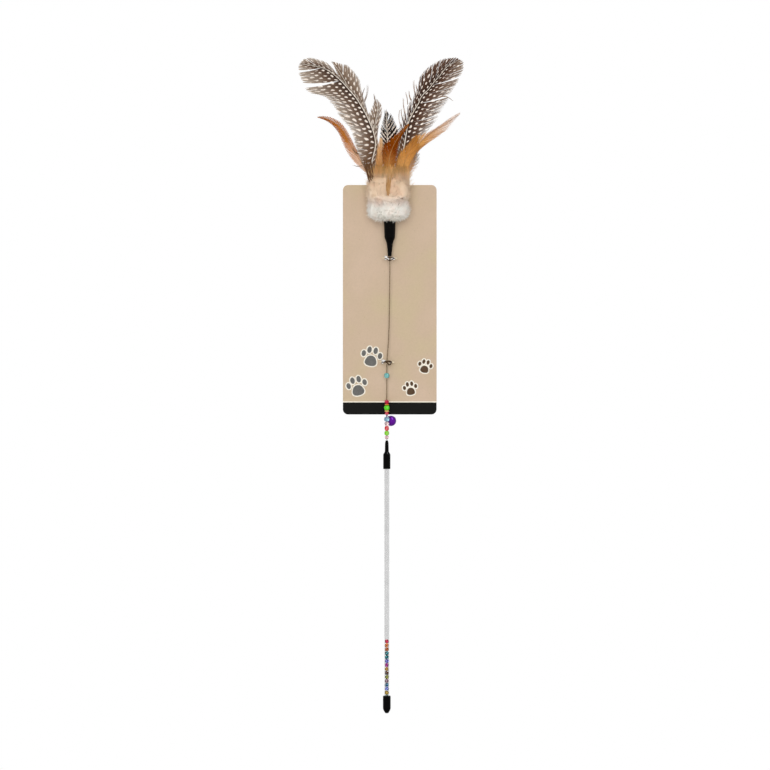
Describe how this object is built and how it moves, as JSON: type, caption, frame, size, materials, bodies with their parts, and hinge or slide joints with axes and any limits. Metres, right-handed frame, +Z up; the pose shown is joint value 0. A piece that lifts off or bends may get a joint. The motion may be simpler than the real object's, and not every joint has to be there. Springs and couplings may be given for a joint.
{
  "type": "cat teaser wand",
  "caption": "Cat teaser wand tied to a hanging display card: feather lure in a socket, string with beads and a bell, clear rod with loose beads and an end cap.",
  "frame": {"origin": "centre of the card's peg hole, at the middle of the card's thickness", "axes": "+Z up along the card and the hanging rod, +X to the right seen from the front, +Y out of the card's back; the lure and the string are on the -Y side"},
  "size_m": [0.1548, 0.0331, 0.6182],
  "materials": {
    "kraft_card": "uncoated kraft board with a black printed band",
    "tie_wire": "clear plastic over steel wire, twisted",
    "string": "twisted brown cord",
    "black_vinyl": "soft glossy black vinyl",
    "glue": "set glue",
    "white_down": "loose white down",
    "cream_down": "loose cream down",
    "guinea_feather": "brown-grey vane with rows of cream dots",
    "hackle": "orange hackle with loose barbs",
    "grey_tuft": "loose grey down",
    "turquoise": "glossy opaque bead",
    "crimson": "glossy opaque bead",
    "orange": "glossy opaque bead",
    "lime": "glossy opaque bead",
    "cream": "glossy opaque bead",
    "pale_blue": "clear tinted bead",
    "pink_clear": "clear tinted bead",
    "red": "glossy opaque bead",
    "lime_low": "glossy opaque bead",
    "pale_pink": "clear tinted bead",
    "bell_purple": "purple lacquer over stamped steel",
    "steel": "bright steel ball",
    "clear_tube": "clear extruded tube",
    "fill_dark_grey": "small glossy bead",
    "fill_teal": "small glossy bead",
    "fill_purple": "small glossy bead",
    "fill_sage": "small glossy bead",
    "fill_gold": "small glossy bead",
    "fill_lavender": "small glossy bead",
    "fill_blue": "small glossy bead",
    "fill_mauve": "small glossy bead",
    "fill_olive": "small glossy bead",
    "fill_brown": "small glossy bead",
    "fill_grey": "small glossy bead",
    "fill_tan": "small glossy bead",
    "fill_plum": "small glossy bead",
    "fill_indigo": "small glossy bead",
    "fill_sea": "small glossy bead",
    "fill_rust": "small glossy bead",
    "fill_magenta": "small glossy bead",
    "fill_red": "small glossy bead"
  },
  "bodies": {
    "display_card": {"card": "kraft_card", "upper_tie": "tie_wire", "lower_tie": "tie_wire", "upper_string": "string"},
    "lure": {"lure_socket": "black_vinyl", "quill_plug": "glue", "lure_knot": "string", "white_down": "white_down", "cream_down": "cream_down", "guinea_feather_left": "guinea_feather", "guinea_feather_behind": "guinea_feather", "guinea_feather_small": "guinea_feather", "guinea_feather_centre": "guinea_feather", "guinea_feather_right": "guinea_feather", "hackle_left": "hackle", "hackle_centre": "hackle", "hackle_right": "hackle", "hackle_strip": "hackle", "hackle_far_right": "hackle", "down_tuft": "grey_tuft"},
    "string_line": {"lower_string": "string"},
    "loose_bead": {"turquoise_bead": "turquoise"},
    "upper_beads": {"bead_crimson_top": "crimson", "bead_orange_ring": "orange", "bead_lime_top": "lime", "bead_cream": "cream", "bead_crimson_low": "crimson"},
    "lower_beads": {"bead_pale_blue": "pale_blue", "bead_pink_clear": "pink_clear", "bead_red": "red", "bead_lime_low": "lime_low", "bead_pale_pink": "pale_pink"},
    "bell": {"bell_upper_shell": "bell_purple", "bell_lower_shell": "bell_purple"},
    "bell_pellet": {"bell_ball": "steel"},
    "rod": {"rod_ferrule": "black_vinyl", "rod_knot": "string", "rod_tube": "clear_tube", "end_cap": "black_vinyl"},
    "loose_fill": {"fill_bead_1": "fill_dark_grey", "fill_bead_2": "fill_teal", "fill_bead_3": "fill_purple", "fill_bead_4": "fill_sage", "fill_bead_5": "fill_gold", "fill_bead_6": "fill_lavender", "fill_bead_7": "fill_blue", "fill_bead_8": "fill_mauve", "fill_bead_9": "fill_olive", "fill_bead_10": "fill_brown", "fill_bead_11": "fill_grey", "fill_bead_12": "fill_tan", "fill_bead_13": "fill_plum", "fill_bead_14": "fill_indigo", "fill_bead_15": "fill_sea", "fill_bead_16": "fill_rust", "fill_bead_17": "fill_magenta", "fill_bead_18": "fill_red"}
  },
  "joints": [
    {"name": "lure_lean", "type": "hinge", "parent": "display_card", "child": "lure", "pos_m": [0, -0.0062, -0.05655], "axis": [0, 1, 0], "range_deg": [-25, 25]},
    {"name": "string_lift", "type": "hinge", "parent": "display_card", "child": "string_line", "pos_m": [-0.0028, -0.0046, -0.15725], "axis": [-1, 0, 0], "range_deg": [0, 70]},
    {"name": "bead_slip", "type": "slide", "parent": "string_line", "child": "loose_bead", "axis": [0, 0, 1], "range_m": [-0.006, 0.004]},
    {"name": "upper_beads_slide", "type": "slide", "parent": "string_line", "child": "upper_beads", "axis": [0, 0, 1], "range_m": [0, 0.012]},
    {"name": "lower_beads_spin", "type": "hinge", "parent": "string_line", "child": "lower_beads", "pos_m": [-0.0028, -0.0046, -0.22985], "axis": [0, 0, 1], "continuous": true},
    {"name": "bell_swivel", "type": "hinge", "parent": "string_line", "child": "bell", "pos_m": [-0.0028, -0.0046, -0.2072], "axis": [0, 0, 1], "continuous": true},
    {"name": "pellet_rattle", "type": "slide", "parent": "bell", "child": "bell_pellet", "axis": [0, 0, 1], "range_m": [0, 0.002]},
    {"name": "rod_swing", "type": "hinge", "parent": "string_line", "child": "rod", "pos_m": [-0.0028, -0.0046, -0.22985], "axis": [0, 1, 0], "range_deg": [-60, 60]},
    {"name": "fill_slide", "type": "slide", "parent": "rod", "child": "loose_fill", "axis": [0, 0, 1], "range_m": [0, 0.16]}
  ]
}
